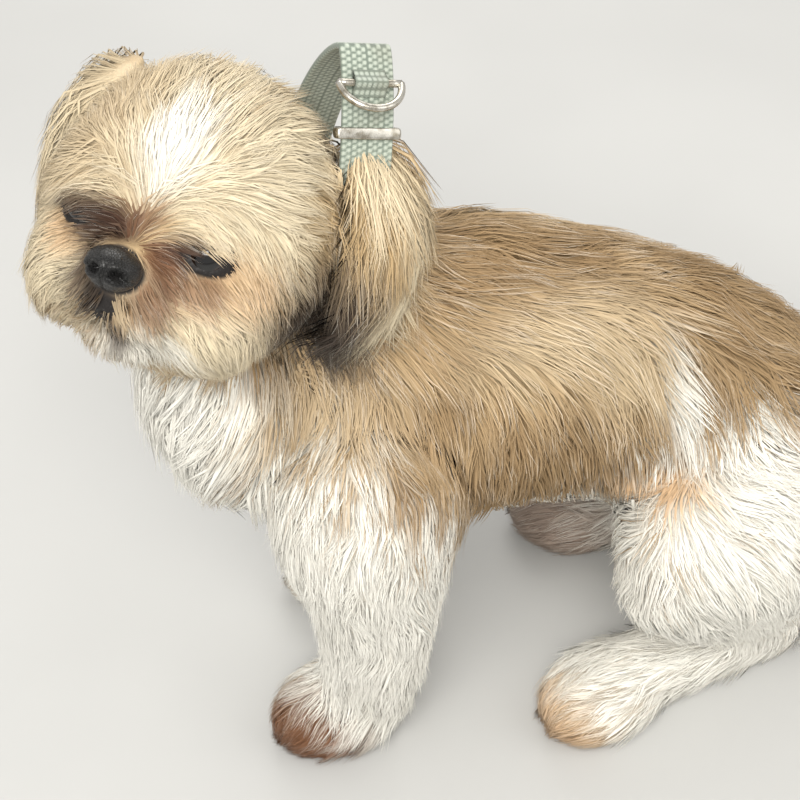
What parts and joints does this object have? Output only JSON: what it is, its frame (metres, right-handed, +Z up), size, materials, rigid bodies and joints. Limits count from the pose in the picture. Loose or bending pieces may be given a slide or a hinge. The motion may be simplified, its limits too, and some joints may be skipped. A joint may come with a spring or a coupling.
{
  "type": "shih tzu",
  "caption": "Crouching small long-coated dog with its head turned to its left, drop ears, wavy coat, plumed tail and a raised webbing collar.",
  "frame": {"origin": "centre of the bounding box's base, on the floor", "axes": "+X from head to tail, -Y the dog's left side, +Z up"},
  "size_m": [0.4678, 0.2078, 0.3698],
  "materials": {
    "torso": "long wavy coat, tan with cream streaks",
    "rump": "long wavy tan coat",
    "neck": "cream and white coat with a white bib",
    "head": "cream coat with a white blaze",
    "left_ear": "golden hair, dark grey at the tip",
    "right_ear": "cream and golden hair",
    "left_eye": "dark, wet gloss",
    "right_eye": "dark, wet gloss",
    "nose": "black, moist and finely grained",
    "left_foreleg": "white coat, stained at the toes",
    "right_foreleg": "white coat, stained at the toes",
    "left_hindleg": "white coat, peach at the toes",
    "right_hindleg": "white coat, peach at the toes",
    "tail": "tan plume",
    "collar": "woven grey-green webbing",
    "collar_slider": "satin metal",
    "collar_ring": "polished metal",
    "collar_keeper": "woven grey-green webbing"
  },
  "bodies": {
    "root": {"torso": "torso", "rump": "rump", "neck": "neck", "head": "head", "left_ear": "left_ear", "right_ear": "right_ear", "left_eye": "left_eye", "right_eye": "right_eye", "nose": "nose", "left_foreleg": "left_foreleg", "right_foreleg": "right_foreleg", "left_hindleg": "left_hindleg", "right_hindleg": "right_hindleg", "tail": "tail", "collar": "collar", "collar_slider": "collar_slider", "collar_ring": "collar_ring", "collar_keeper": "collar_keeper"}
  },
  "joints": []
}
